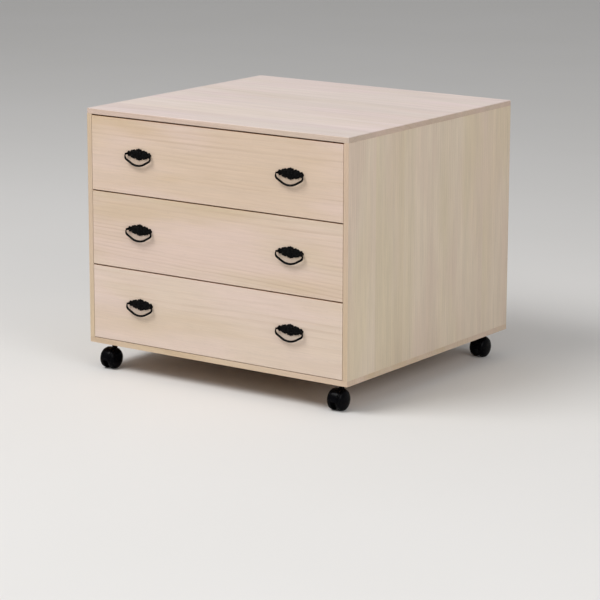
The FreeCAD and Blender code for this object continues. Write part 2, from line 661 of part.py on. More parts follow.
def hood(name, x, y):
    """The moulded hood: a core between the wheels, a cover over them and a round neck."""
    wheel_y = f"({y} - sizes.trail)"
    inside = "(sizes.wheel_radius + sizes.fender_gap)"
    outside = f"({inside} + sizes.fender_wall)"
    wide = "(sizes.web_thick + 2 * sizes.fender_over)"
    turned = ALONG_X.multiply(
        FreeCAD.Rotation(FreeCAD.Vector(0, 0, 1), worth("sizes.fender_start")))
    label = f"{name}_caster"
    cover_blank = rod(f"{label}_cover_blank", outside, wide, f"({x} - {wide} / 2)",
                      wheel_y, "sizes.wheel_radius", turned, "sizes.fender_sweep")
    room = rod(f"{label}_wheel_room", inside, f"{wide} + 2 * sizes.overrun",
               f"({x} - {wide} / 2 - sizes.overrun)", wheel_y, "sizes.wheel_radius", ALONG_X)
    cover = less(f"{label}_cover", cover_blank, room)
    web = rod(f"{label}_web", f"({inside} + sizes.fender_wall / 2)", "sizes.web_thick",
              f"({x} - sizes.web_thick / 2)", wheel_y, "sizes.wheel_radius",
              turned, "sizes.fender_sweep")
    hub = rod(f"{label}_hub", "sizes.hub_radius", "sizes.web_thick",
              f"({x} - sizes.web_thick / 2)", wheel_y, "sizes.wheel_radius", ALONG_X)
    neck = rod(f"{label}_neck", "sizes.neck_radius", "sizes.neck_top - sizes.stem_low",
               x, y, "sizes.stem_low")
    blank = joined(f"{label}_blank", [cover, web, hub, neck])
    stem_bore = rod(f"{label}_stem_bore", "sizes.stem_radius + sizes.fit_play",
                    "sizes.neck_top - sizes.stem_low + sizes.run_gap + sizes.overrun",
                    x, y, "(sizes.stem_low - sizes.run_gap)")
    axle_bore = rod(f"{label}_axle_bore", "sizes.axle_radius + sizes.fit_play",
                    "sizes.web_thick + 2 * sizes.overrun",
                    f"({x} - sizes.web_thick / 2 - sizes.overrun)", wheel_y,
                    "sizes.wheel_radius", ALONG_X)
    bores = joined(f"{label}_bores", [stem_bore, axle_bore])
    finish(less(f"{label}_hood", blank, bores), f"{label}_hood")
    reach = "(sizes.web_thick / 2 + sizes.wheel_gap + sizes.axle_reach)"
    finish(rod(f"{label}_axle", "sizes.axle_radius", f"2 * {reach}", f"({x} - {reach})",
               wheel_y, "sizes.wheel_radius", ALONG_X), f"{label}_axle")


def wheel(label, x, y, rotation):
    """One domed wheel with a blind bore, turned about its axle."""
    body = finish(new_body(label, x, y, "sizes.wheel_radius", rotation), label)
    inner = "(sizes.web_thick / 2 + sizes.wheel_gap)"
    bore = "(sizes.axle_radius + sizes.pin_play)"
    bore_end = f"({inner} + sizes.axle_reach + sizes.run_gap)"
    shoulder = f"({inner} + sizes.wheel_tread)"
    cap = f"({shoulder} + sizes.cap_out)"
    half = sketch_on(body, "XZ_Plane", "half")
    outline(half, [(bore_end, "0"), (cap, "0"), (cap, "sizes.cap_radius"),
                   (shoulder, "sizes.wheel_radius"), (inner, "sizes.wheel_radius"),
                   (inner, bore), (bore_end, bore)])
    spun = body.newObject("PartDesign::Revolution", f"{body.Name}_spun")
    spun.Profile = half
    spun.ReferenceAxis = (half, ["H_Axis"])
    spun.Angle = 360


def casters():
    caster_fixings()
    for name, x, y in corner_places():
        hood(name, x, y)
        wheel_y = f"({y} - sizes.trail)"
        wheel(f"{name}_caster_left_wheel", x, wheel_y, HALF_TURN)
        wheel(f"{name}_caster_right_wheel", x, wheel_y, None)


# Whole chest
def check_and_write():
    doc.recompute()
    faults = []
    for item in doc.Objects:
        if "Invalid" in item.State or "Error" in item.State:
            faults.append(item.Name)
    for piece in made:
        if piece.Shape.isNull() or not piece.Shape.isValid():
            faults.append(piece.Label)
    if faults:
        raise RuntimeError(f"pieces that failed: {faults}")
    os.makedirs("parts", exist_ok=True)
    for piece in made:
        piece.Shape.exportStep(os.path.join("parts", f"{piece.Label}.step"))
    print(f"{len(made)} pieces written")


carcass()
rails_and_runners()
drawers()
casters()
check_and_write()
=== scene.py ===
# %% [markdown]
# # A paulownia chest of drawers on ball casters
#
# The chest is a plain box of pale kiri (paulownia) board with three inset drawers, six black cast
# pulls and four black ball casters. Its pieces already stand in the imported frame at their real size,
# in metres, with +Z up and the drawers opening toward -Y. This lesson dresses that frame. The boards
# keep their solids and get a grain. The pulls and casters, which the frame holds in plain form, are
# modelled again with their relief, round bars and domes.

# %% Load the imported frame
import json
import math
import bmesh
import bpy
from mathutils import Matrix, Vector


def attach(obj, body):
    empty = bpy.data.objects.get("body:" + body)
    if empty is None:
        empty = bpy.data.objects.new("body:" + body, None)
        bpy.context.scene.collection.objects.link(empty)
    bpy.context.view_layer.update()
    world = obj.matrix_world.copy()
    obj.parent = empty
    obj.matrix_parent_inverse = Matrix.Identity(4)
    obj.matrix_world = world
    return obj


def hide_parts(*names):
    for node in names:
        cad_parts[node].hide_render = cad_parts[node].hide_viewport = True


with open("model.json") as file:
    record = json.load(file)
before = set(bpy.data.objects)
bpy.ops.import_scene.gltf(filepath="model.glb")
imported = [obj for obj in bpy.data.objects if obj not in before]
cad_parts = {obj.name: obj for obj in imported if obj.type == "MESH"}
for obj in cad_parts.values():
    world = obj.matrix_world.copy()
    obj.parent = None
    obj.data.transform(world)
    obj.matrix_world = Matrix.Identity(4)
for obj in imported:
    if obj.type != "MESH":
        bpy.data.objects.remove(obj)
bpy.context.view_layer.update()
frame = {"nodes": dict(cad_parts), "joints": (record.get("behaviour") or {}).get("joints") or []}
MM = 0.001

# %% [markdown]
# ## A recipe for finishes
#
# Every finish here is a Principled surface whose colour, roughness and bump come from noise, because
# bare wood, cast iron and moulded nylon are never one flat colour. Wiring nodes by hand repeats the
# same three lines, so a small class adds one node per call and joins it at once. A class was chosen
# over node groups because every finish then stays one plain tree, open to read in the editor.

# %% Finish: a material built one node at a time
def shade(red, green, blue):
    """A colour picked as 0 to 255 screen values, as the shader wants it."""
    linear = []
    for value in (red, green, blue):
        part = value / 255
        linear.append(part / 12.92 if part <= 0.04045 else ((part + 0.055) / 1.055) ** 2.4)
    return (*linear, 1.0)


class Finish:
    """A Principled surface and the nodes that feed it."""

    def __init__(self, name):
        self.material = bpy.data.materials.new(name)
        self.material.use_nodes = True
        self.tree = self.material.node_tree
        self.tree.nodes.clear()
        self.surface = self.tree.nodes.new("ShaderNodeBsdfPrincipled")
        output = self.tree.nodes.new("ShaderNodeOutputMaterial")
        self.tree.links.new(self.surface.outputs[0], output.inputs["Surface"])
        self.place = self.tree.nodes.new("ShaderNodeTexCoord")

    def feed(self, socket, value):
        """Join another node's output to a socket, or set the socket to a plain value."""
        if isinstance(value, bpy.types.NodeSocket):
            self.tree.links.new(value, socket)
        else:
            socket.default_value = value

    def add(self, kind, values, **settings):
        """A node with some settings, and values or other nodes' outputs on its sockets."""
        made = self.tree.nodes.new(kind)
        for name, value in settings.items():
            setattr(made, name, value)
        for name, value in values.items():
            self.feed(made.inputs[name], value)
        return made

    def maths(self, operation, *values):
        """The result of one operation on values or outputs."""
        return self.add("ShaderNodeMath", dict(enumerate(values)), operation=operation).outputs[0]

    def noise(self, where, scale, detail=2.0, roughness=0.5):
        """Cloudy values between 0 and 1 that change from place to place."""
        values = {"Vector": where, "Scale": scale, "Detail": detail, "Roughness": roughness}
        return self.add("ShaderNodeTexNoise", values).outputs[0]

    def spread(self, value, low, high, new_low=0.0, new_high=1.0):
        """Stretch a value from one range to another, smoothly and without overshoot."""
        values = {"Value": value, "From Min": low, "From Max": high,
                  "To Min": new_low, "To Max": new_high}
        made = self.add("ShaderNodeMapRange", values, interpolation_type="SMOOTHSTEP")
        return made.outputs[0]

    def blend(self, share, first, second, how="MIX"):
        """Two colours, or a colour and the value that multiplies it."""
        made = self.add("ShaderNodeMix", {}, data_type="RGBA", blend_type=how)
        for socket, value in zip((made.inputs[0], made.inputs[6], made.inputs[7]),
                                 (share, first, second)):
            self.feed(socket, value)
        return made.outputs[2]

    def bump(self, height, strength, depth):
        """Let a height tilt the light on the surface."""
        values = {"Height": height, "Strength": strength, "Distance": depth}
        made = self.add("ShaderNodeBump", values)
        self.tree.links.new(made.outputs[0], self.surface.inputs["Normal"])


print("a first colour check:", [round(v, 3) for v in shade(214, 190, 168)])

# %% [markdown]
# ## Kiri board
#
# Paulownia is a pale, soft, ring-porous wood, planed and left bare. A flat-sawn face shows the growth
# rings as soft lines that run with the fibres and close into tall arches near the middle of the tree.
# The finish copies how that comes about: each board is given a pith line at some distance behind its
# face, a little out of true, and the distance to that line counts the rings. Because this is a solid
# pattern, faces, edges and end grain of one board agree. A photograph of wood could be wrapped round
# each board instead, but it would show seams at the edges, and no file may be read here.
#
# The first step gives a board its own axes, along the fibres, across the face and into the depth,
# and its own luck. The wide panels are glued up from staves, as real ones are, so there each stave
# is counted and gets a pith and a tone of its own.

# %% Kiri: a board's axes, luck and noises
AXES = {"x": 0, "y": 1, "z": 2}
SHIFT_PER_BOARD = 7.31
# Each noise by name: its scale along and across the fibres, shift, detail and roughness.
DRAWN = {"sway": (1.5, 5.0, 0.0, 1.0, 0.5), "ripple": (11.0, 22.0, 3.0, 2.0, 0.5),
         "strength": (3.2, 9.0, 8.0, 2.0, 0.5), "patch": (2.4, 8.0, 5.0, 2.0, 0.5),
         "straw": (1.8, 11.0, 12.0, 3.0, 0.5), "fibre": (9.0, 620.0, 1.0, 3.0, 0.6),
         "streak": (13.0, 330.0, 6.0, 3.0, 0.6), "band": (3.4, 60.0, 2.0, 2.0, 0.5),
         "pore": (70.0, 1500.0, 4.0, 1.0, 0.5)}


class Board(Finish):
    """A board with fibres along one axis, seen on the face that looks along another."""

    def __init__(self, name, fibres, face, seed, stave=None):
        super().__init__(name)
        split = self.add("ShaderNodeSeparateXYZ", {0: self.place.outputs["Object"]})
        self.fibres = fibres
        self.wide = next(axis for axis in "xyz" if axis not in (fibres, face))
        self.along = split.outputs[AXES[fibres]]
        self.across = split.outputs[AXES[self.wide]]
        self.deep = split.outputs[AXES[face]]
        self.seed = seed
        self.number = seed
        self.stave = stave
        if stave:
            place = self.maths("DIVIDE", self.across, stave)
            self.number = self.maths("ADD", self.maths("FLOOR", place), seed)
            self.across = self.maths("MULTIPLY", self.maths("FRACT", place), stave)
        luck = self.add("ShaderNodeSeparateColor", {0: self.chance(self.number)["Color"]})
        self.luck = luck.outputs

    def chance(self, number):
        """Random values that stay the same for one number."""
        return self.add("ShaderNodeTexWhiteNoise", {"W": number}, noise_dimensions="1D").outputs

    def drawn(self, name):
        """One of the noises above, stretched along the fibres and moved for each board."""
        along, across, shift, detail, roughness = DRAWN[name]
        offset = self.maths("MULTIPLY_ADD", self.number, SHIFT_PER_BOARD, shift)
        parts = [self.maths("MULTIPLY_ADD", value, scale, offset)
                 for value, scale in ((self.along, along), (self.across, across),
                                      (self.deep, across))]
        where = self.add("ShaderNodeCombineXYZ", {0: parts[0], 1: parts[1], 2: parts[2]})
        return self.noise(where.outputs[0], 1.0, detail, roughness)

    def facing(self, axis):
        """How much a face looks along an axis, from -1 to 1."""
        parts = self.add("ShaderNodeSeparateXYZ", {0: self.place.outputs["Normal"]})
        return parts.outputs[AXES[axis]]


print("noises of a board:", ", ".join(DRAWN))

# %% [markdown]
# ## Growth rings
#
# The second step counts the rings from the pith. Each ring grows pale in spring and ends in a thin
# dark line of late wood. The pith line sways and ripples a little, so that no line is straight, and
# a random value for every ring makes some of those lines strong and lets others fade.

# %% Kiri: rings round a pith
RING = 7.5 * MM
RIPPLE_REACH = 4.0 * MM
PITH_PLAY = (0.25, -0.06)
LATE_FROM = 0.40
LATE_PEAK = 0.92


class RingedBoard(Board):
    """A board that knows how far each point of it is through its growth ring."""

    def from_pith(self, axis, value, pith, lean):
        """Distance from the pith along one axis; a stave's own pith moves within some play."""
        away = self.maths("MULTIPLY_ADD", self.along, lean[axis], -pith[axis])
        if self.stave:
            play = self.maths("MULTIPLY", self.luck[axis], PITH_PLAY[axis])
            away = self.maths("ADD", away, play)
        return self.maths("ADD", value, away)

    def rings(self, pith, lean, wander):
        """How far a point is through its growth ring, from 0 to 1, and that ring's strength."""
        sway = self.maths("SUBTRACT", self.drawn("sway"), 0.5)
        ripple = self.maths("SUBTRACT", self.drawn("ripple"), 0.5)
        shift = self.maths("ADD", self.maths("MULTIPLY", sway, wander),
                           self.maths("MULTIPLY", ripple, RIPPLE_REACH))
        side = self.maths("ADD", self.from_pith(0, self.across, pith, lean), shift)
        back = self.from_pith(1, self.deep, pith, lean)
        square = self.maths("ADD", self.maths("MULTIPLY", side, side),
                            self.maths("MULTIPLY", back, back))
        count = self.maths("DIVIDE", self.maths("SQRT", square), RING)
        ring = self.maths("ADD", self.maths("FLOOR", count), self.seed)
        return self.maths("FRACT", count), self.chance(ring)["Value"]

    def late_wood(self, through, chance, contrast):
        """The dark line that ends a ring, stronger in some rings and places than in others."""
        rise = self.spread(through, LATE_FROM, LATE_PEAK)
        fall = self.spread(through, LATE_PEAK, 1.0, 1.0, 0.0)
        line = self.maths("MULTIPLY", rise, fall)
        strength = self.maths("MULTIPLY_ADD", chance, 0.8, 0.2)
        place = self.spread(self.drawn("strength"), 0.35, 0.68, 0.1, 1.0)
        strength = self.maths("MULTIPLY", strength, place)
        return self.maths("MULTIPLY", self.maths("MULTIPLY", line, strength), contrast)


print("kiri rings are", RING / MM, "mm wide, darkest at", LATE_PEAK, "of each")

# %% [markdown]
# ## Colour, fibres and pores
#
# The third step paints the board: pale and pinkish patches, warmer straw-coloured ones, and then the
# late wood. Fibres, streaks and bands make it lighter and darker in fine lines, and short open pores
# darken it in dots, most of all where a ring begins. End grain gets a darker, warmer tint of its own.
# Rims and undersides get a tint each too, which on some boards paints the warm shade of the gaps
# between the drawers and of the space under the chest. Bare wood is dull, so its gloss is low.

# %% Kiri: the finish of a board
KIRI = (shade(222, 201, 180), shade(225, 202, 186), shade(213, 189, 155), shade(188, 158, 127))
FIBRE_SWING = 0.12
STREAK_SWING = 0.17
STAVE_SWING = 0.07
PORE_SHADE = 0.14
ROUGH_LEAST = 0.52
ROUGH_SWING = 0.16
WOOD_GLOSS = 0.25
PORE_DEPTH = 0.25 * MM
WHITE = (1.0, 1.0, 1.0, 1.0)


class Kiri(RingedBoard):
    """Planed kiri, finished in tones that are given board by board."""

    def tinted(self, colour, share, tone):
        """A colour multiplied by a tone where the share is 1, and left alone where it is 0."""
        tone = self.blend(share, WHITE, (*tone, 1.0))
        return self.blend(1.0, colour, tone, "MULTIPLY")

    def finish(self, pith=(0.0, 0.09), lean=(0.02, 0.03), wander=0.03, contrast=0.5,
               tones=KIRI, warmth=0.5, end=(0.88, 0.85, 0.80), rim=(1.0, 1.0, 1.0),
               figure=1.0, bands=0.15, under=None):
        """Rings, patches, fibres and pores, with a tint each for end, rim and underside; rim and
        underside tints can paint shade.
        """
        pale, pink, straw_tone, late_tone = tones
        through, chance = self.rings(pith, lean, wander)
        late = self.late_wood(through, chance, contrast)
        colour = self.blend(self.spread(self.drawn("patch"), 0.38, 0.62), pale, pink)
        straw = self.maths("MULTIPLY", self.spread(self.drawn("straw"), 0.42, 0.68), warmth)
        colour = self.blend(straw, colour, straw_tone)
        colour = self.blend(late, colour, late_tone)

        fibre = self.drawn("fibre")
        streak = self.drawn("streak")
        band = self.drawn("band")
        grain = 1.0
        for layer, amount in ((fibre, FIBRE_SWING), (streak, STREAK_SWING), (band, bands)):
            swing = amount * figure
            layer = self.maths("MULTIPLY_ADD", layer, swing, 1.0 - swing / 2)
            grain = self.maths("MULTIPLY", grain, layer)
        pore = self.spread(self.drawn("pore"), 0.64, 0.74)
        pore = self.maths("MULTIPLY", pore, self.spread(through, 0.0, 0.5, 1.0, 0.25))
        grain = self.maths("MULTIPLY", grain, self.maths("MULTIPLY_ADD", pore, -PORE_SHADE, 1.0))
        if self.stave:
            tone = self.maths("MULTIPLY_ADD", self.luck[2], STAVE_SWING, 1.0 - STAVE_SWING / 2)
            grain = self.maths("MULTIPLY", grain, tone)
        colour = self.blend(1.0, colour, grain, "MULTIPLY")

        # On some boards the rim tint paints the warm shade of the gaps between the drawers.
        for axis, tone in ((self.fibres, end), (self.wide, rim)):
            share = self.spread(self.maths("ABSOLUTE", self.facing(axis)), 0.6, 0.9)
            colour = self.tinted(colour, share, tone)
        # The underside tint paints shade: under the chest, where it is partly the bottom's rough wood,
        # and in the gap under the top.
        if under:
            share = self.spread(self.facing("z"), -0.9, -0.6, 1.0, 0.0)
            colour = self.tinted(colour, share, under)
        self.feed(self.surface.inputs["Base Color"], colour)
        rough = self.maths("MULTIPLY_ADD", fibre, ROUGH_SWING, ROUGH_LEAST)
        self.feed(self.surface.inputs["Roughness"], rough)
        self.surface.inputs["Specular IOR Level"].default_value = WOOD_GLOSS
        height = self.maths("SUBTRACT", self.maths("MULTIPLY", fibre, 0.6), pore)
        self.bump(height, 0.35, PORE_DEPTH)
        return self.material


print("kiri in", len(KIRI), "tones, from", [round(v, 2) for v in KIRI[0][:3]])

# %% [markdown]
# ## Which board is cut how
#
# On the real chest the top, the bottom and the drawer fronts run their fibres from side to side, and
# the side panels run theirs up and down, so that all of them swell alike. Each board gets its own
# seed and pith line: two neighbours never repeat each other. The frame's boards have knife-sharp
# corners, but for a small chamfer round the top. Cutting the bevels into the meshes would work too,
# but modifiers leave the frame's own meshes untouched. A weld joins the split corners, a first node
# group marks the long edges, a narrow bevel gives each of them a thin line of light, and a second
# node group works the shading out again, because the bevel leaves the old one behind.

# %% A node group for a modifier
def mesh_step(name):
    """An empty node group for a modifier, with its nodes, a way to wire them and two ends."""
    group = bpy.data.node_groups.new(name, "GeometryNodeTree")
    for way in ("INPUT", "OUTPUT"):
        group.interface.new_socket("Geometry", in_out=way, socket_type="NodeSocketGeometry")
    start = group.nodes.new("NodeGroupInput")
    end = group.nodes.new("NodeGroupOutput")
    return group, group.nodes, group.links.new, start, end


def above(nodes, wire, value, least):
    """1 where a value is greater than the least one, and 0 elsewhere."""
    test = nodes.new("ShaderNodeMath")
    test.operation = "GREATER_THAN"
    test.inputs[1].default_value = least
    wire(value, test.inputs[0])
    return test.outputs[0]


trial_step = mesh_step("trial")
print("an empty step has", len(trial_step[1]), "nodes")
bpy.data.node_groups.remove(trial_step[0])

# %% Mark the long edges
LEAST_EDGE = 3.5 * MM
LEAST_TURN = 40


def long_edges():
    """A node group that weighs the long and sharp edges for the bevel."""
    group, nodes, wire, start, end = mesh_step("long edges")
    ends = nodes.new("GeometryNodeInputMeshEdgeVertices")
    length = nodes.new("ShaderNodeVectorMath")
    length.operation = "DISTANCE"
    wire(ends.outputs["Position 1"], length.inputs[0])
    wire(ends.outputs["Position 2"], length.inputs[1])
    turn = nodes.new("GeometryNodeInputMeshEdgeAngle")
    both = nodes.new("ShaderNodeMath")
    both.operation = "MULTIPLY"
    wire(above(nodes, wire, length.outputs["Value"], LEAST_EDGE), both.inputs[0])
    wire(above(nodes, wire, turn.outputs["Unsigned Angle"], math.radians(LEAST_TURN)),
         both.inputs[1])
    weight = nodes.new("GeometryNodeStoreNamedAttribute")
    weight.data_type = "FLOAT"
    weight.domain = "EDGE"
    weight.inputs["Name"].default_value = "bevel_weight_edge"
    wire(start.outputs[0], weight.inputs["Geometry"])
    wire(both.outputs[0], weight.inputs["Value"])
    wire(weight.outputs[0], end.inputs[0])
    return group


LONG_EDGES = long_edges()
print("edges longer than", round(LEAST_EDGE / MM, 1), "mm get eased")

# %% Shade the pieces afresh
def crisp_shading(name, degrees):
    """A node group that keeps edges sharper than some degrees crisp and shades the rest round."""
    group, nodes, wire, start, end = mesh_step(name)
    turn = nodes.new("GeometryNodeInputMeshEdgeAngle")
    crisp = nodes.new("GeometryNodeSetMeshNormal")
    crisp.mode = "SHARPNESS"
    crisp.inputs["Remove Custom"].default_value = True
    crisp.inputs["Face Sharpness"].default_value = False
    sharp = above(nodes, wire, turn.outputs["Unsigned Angle"], math.radians(degrees))
    wire(start.outputs[0], crisp.inputs["Mesh"])
    wire(sharp, crisp.inputs["Edge Sharpness"])
    wire(crisp.outputs[0], end.inputs[0])
    return group


BOARD_SHADING = crisp_shading("board shading", 8)
METAL_SHADING = crisp_shading("metal shading", 30)
print("shading steps:", BOARD_SHADING.name, "and", METAL_SHADING.name)

# %% Dress a node of the frame
WELD_REACH = 0.01 * MM
EASED = {"top": 0.35 * MM, "front": 0.45 * MM, "inner": 0.4 * MM}


def dress(node, material, eased, shading=BOARD_SHADING):
    """Give a frame node its finish, eased edges and fresh shading."""
    piece = frame["nodes"][node]
    for place in piece.material_slots:
        place.material = material
    weld = piece.modifiers.new("weld", "WELD")
    weld.merge_threshold = WELD_REACH
    marks = piece.modifiers.new("long edges", "NODES")
    marks.node_group = LONG_EDGES
    soft = piece.modifiers.new("eased edges", "BEVEL")
    soft.width = eased
    soft.segments = 2
    soft.limit_method = "WEIGHT"
    soft.loop_slide = False
    soft.use_clamp_overlap = False
    crisp = piece.modifiers.new("crisp shading", "NODES")
    crisp.node_group = shading


print("edges are eased by", {part: round(width / MM, 2) for part, width in EASED.items()}, "mm")

# %% [markdown]
# ## Dress the carcass
#
# Top and sides are wide panels glued up from staves of nearly 120 mm. The top is the palest and
# pinkest, partly its own tone and partly a painted sheen of grazing light, and the sides lean to
# straw. The rings are kept faint on both, because the photograph shows quiet boards, and those of
# the sides wander little, because their lines run almost straight.

# %% Dress the carcass
# The top's tones are partly a painted sheen, pinker and less yellow than the wood; its rim tint takes
# the front edge back toward plain kiri.
TOP_TONES_AND_SHEEN = (shade(220, 206, 198), shade(222, 205, 200),
             shade(217, 201, 186), shade(201, 181, 165))
SIDE_TONES = (shade(216, 200, 180), shade(212, 193, 175),
              shade(210, 195, 164), shade(188, 167, 145))
# The top's underside tint paints the warm shade of the gap over the upper drawer.
dress("top_panel", Kiri("kiri top", "x", "z", 1, stave=0.118).finish(
    pith=(0.10, 0.50), lean=(0.0, 0.02), contrast=0.4, warmth=0.4, tones=TOP_TONES_AND_SHEEN, figure=1.3,
    end=(0.76, 0.70, 0.61), rim=(0.95, 0.88, 0.78), under=(1.0, 0.82, 0.6)), EASED["top"])
# The bottom's underside tint is partly its rough wood and partly painted shade under the chest.
dress("bottom_panel", Kiri("kiri bottom", "x", "z", 2).finish(
    end=(0.83, 0.83, 0.79), rim=(0.96, 0.95, 0.90), under=(0.72, 0.63, 0.52)), EASED["front"])
for seed, side in enumerate(("left", "right"), start=3):
    grain = Kiri(f"kiri {side} side", "z", "x", 100 * seed, stave=0.117)
    dress(f"{side}_side_panel", grain.finish(
        pith=(-0.1, 0.25), lean=(0.0, 0.01), wander=0.012, contrast=0.34, warmth=0.5, figure=1.35,
        tones=SIDE_TONES, rim=(0.98, 0.91, 0.84)), EASED["front"])
dress("back_panel", Kiri("kiri back", "z", "y", 500, stave=0.12).finish(contrast=0.4),
      EASED["inner"])
# The rails are darker and browner than the fronts, partly their own wood and partly painted shade, so
# the gaps read dark.
RAIL_TONES_AND_SHADE = (shade(205, 174, 142), shade(205, 172, 144),
         shade(196, 166, 130), shade(170, 136, 104))
for seed, rail in enumerate(("middle_front_rail", "upper_front_rail"), start=6):
    dress(rail, Kiri(f"kiri {rail}", "x", "y", seed).finish(tones=RAIL_TONES_AND_SHADE), EASED["inner"])
print("carcass boards dressed:", sum(1 for piece in frame["nodes"].values() if piece.modifiers))

# %% [markdown]
# ## Dress the drawers
#
# The three fronts have tones of their own: the upper one is the warmest and the lower one the
# palest. The lower one is also cut farther from its pith than the others, so its lines lie wider
# apart. Sides, backs, floors and runners are hidden most of the time and share plainer cuts.

# %% Dress the drawers
LEVELS = ("lower", "middle", "upper")
FRONT_TONES = {
    "lower": (shade(226, 207, 189), shade(229, 208, 195),
              shade(216, 194, 165), shade(192, 163, 134)),
    "middle": (shade(223, 203, 183), shade(227, 204, 190),
               shade(212, 189, 157), shade(188, 158, 127)),
    "upper": (shade(221, 198, 176), shade(226, 203, 189),
              shade(211, 184, 147), shade(186, 155, 123))}
WARMTH = {"lower": 0.45, "middle": 0.65, "upper": 0.8}
PITHS = {"lower": ((0.08, -0.12), (0.01, 0.01)), "middle": ((0.485, -0.235), (0.05, -0.03)),
         "upper": ((0.67, -0.22), (0.03, -0.03))}
DRAWER_CUTS = {"left_side": ("y", "x"), "right_side": ("y", "x"),
               "back": ("x", "y"), "floor": ("x", "z")}
for level, name in enumerate(LEVELS):
    seed = 10 + 10 * level
    pith, lean = PITHS[name]
    # The fronts' rim tint paints the warm shade of the gaps onto their top and bottom edges, which
    # also shows when a drawer is open.
    dress(f"{name}_drawer_front", Kiri(f"kiri {name} front", "x", "y", seed).finish(
        pith=pith, lean=lean, contrast=0.42, tones=FRONT_TONES[name], warmth=WARMTH[name],
        bands=0.07, rim=(0.80, 0.66, 0.52)), EASED["front"])
    for part, (fibres, face) in DRAWER_CUTS.items():
        seed += 1
        dress(f"{name}_drawer_{part}", Kiri(f"kiri {name} {part}", fibres, face, seed).finish(
            contrast=0.45, warmth=0.8), EASED["inner"])
    dress(f"{name}_runners", Kiri(f"kiri {name} runners", "y", "x", seed + 1).finish(),
          EASED["inner"])
print("boards dressed:", sum(1 for piece in frame["nodes"].values() if piece.modifiers))

# %% [markdown]
# ## Black cast iron, moulded nylon and zinc
#
# The pulls are sand-cast and painted satin black: the skin is faintly pebbled and catches light only
# on its crests. The casters are moulded nylon, smoother and glossier, with a duller tread where they
# roll on the floor. Screws, stems, nuts and axles are zinc-plated steel. An image of scratches could
# tell them apart, but at this distance two noises do, one broad for the tone and one fine for the
# roughness and the bump. So all of them share one small recipe, told apart by its numbers.

# %% Metals and nylon
def pebbled(name, dark, light, metal, rough, cell, depth, gloss=0.5):
    """A skin whose colour and roughness vary over small cells, with a bump of some depth."""
    skin = Finish(name)
    skin.surface.inputs["Specular IOR Level"].default_value = gloss
    where = skin.place.outputs["Object"]
    broad = skin.noise(where, 1 / (12 * cell), 3.0)
    fine = skin.noise(where, 1 / cell, 4.0, 0.6)
    colour = skin.blend(skin.spread(broad, 0.3, 0.7), dark, light)
    skin.feed(skin.surface.inputs["Base Color"], colour)
    skin.surface.inputs["Metallic"].default_value = metal
    skin.feed(skin.surface.inputs["Roughness"],
              skin.spread(fine, 0.2, 0.8, rough - 0.08, rough + 0.10))
    skin.bump(fine, 0.5, depth)
    return skin.material


METAL_EASE = 0.15 * MM
METAL_ENDINGS = ("_pull_screws", "_caster_axle", "caster_stems", "caster_nuts")
BLACK_IRON = pebbled("black cast iron", shade(3, 3, 4), shade(10, 9, 9), 0.0, 0.34,
                     0.5 * MM, 0.05 * MM, 0.06)
BLACK_NYLON = pebbled("black nylon", shade(2, 2, 4), shade(6, 6, 9), 0.0, 0.22,
                      0.9 * MM, 0.01 * MM, 0.05)
TYRE = pebbled("black tread", shade(4, 4, 5), shade(10, 9, 10), 0.0, 0.42,
               0.7 * MM, 0.02 * MM, 0.05)
ZINC = pebbled("zinc plate", shade(150, 150, 146), shade(188, 187, 180), 1.0, 0.34,
               0.6 * MM, 0.01 * MM)
for node in frame["nodes"]:
    if node.endswith(METAL_ENDINGS):
        dress(node, ZINC, METAL_EASE, METAL_SHADING)
print("finishes:", [material.name for material in (BLACK_IRON, BLACK_NYLON, TYRE, ZINC)])

# %% [markdown]
# ## Making meshes from rings of points
#
# Plates, bars, lugs, wheels and hoods are all rows of points joined to the next row: a lathe
# turns a profile round an axis, and a tube carries a circle along a path. One helper joins such rows
# into a closed skin, so each piece only has to say where its rows lie.

# %% Rows of points into a closed skin
def skin_rows(mesh, rows):
    """Join equal rings of points, one after another, and close both ends."""
    grid = [[mesh.verts.new(point) for point in row] for row in rows]
    count = len(rows[0])
    for row, further in zip(grid, grid[1:]):
        for k in range(count):
            after = (k + 1) % count
            mesh.faces.new((row[k], row[after], further[after], further[k]))
    mesh.faces.new(tuple(reversed(grid[0])))
    mesh.faces.new(tuple(grid[-1]))


def lathe(mesh, profile, steps, place):
    """Turn (along, radius) points round a local X axis, then move them by a matrix."""
    rows = []
    for along, radius in profile:
        ring = []
        for k in range(steps):
            angle = 2 * math.pi * k / steps
            ring.append(place @ Vector((along, radius * math.cos(angle),
                                        radius * math.sin(angle))))
        rows.append(ring)
    skin_rows(mesh, rows)


trial_drum = bmesh.new()
lathe(trial_drum, [(0.0, 1.0), (1.0, 1.0)], 8, Matrix())
print("a turned drum of 8 steps has", len(trial_drum.faces), "faces")
trial_drum.free()

# %% From a mesh to a visible piece
SHARP_EDGE = 40


def as_piece(name, mesh, material, sharp=SHARP_EDGE):
    """A mesh as a visible piece, smooth but for edges sharper than some degrees."""
    bmesh.ops.recalc_face_normals(mesh, faces=mesh.faces)
    for edge in mesh.edges:
        edge.smooth = not (edge.is_manifold and edge.calc_face_angle(0) > math.radians(sharp))
    for face in mesh.faces:
        face.smooth = True
    data = bpy.data.meshes.new(name)
    mesh.to_mesh(data)
    mesh.free()
    data.materials.append(material)
    piece = bpy.data.objects.new(name, data)
    bpy.context.scene.collection.objects.link(piece)
    return piece


def another(first, name):
    """One more piece with the first one's mesh."""
    piece = bpy.data.objects.new(name, first.data)
    bpy.context.scene.collection.objects.link(piece)
    return piece


print("edges sharper than", SHARP_EDGE, "degrees stay crisp")

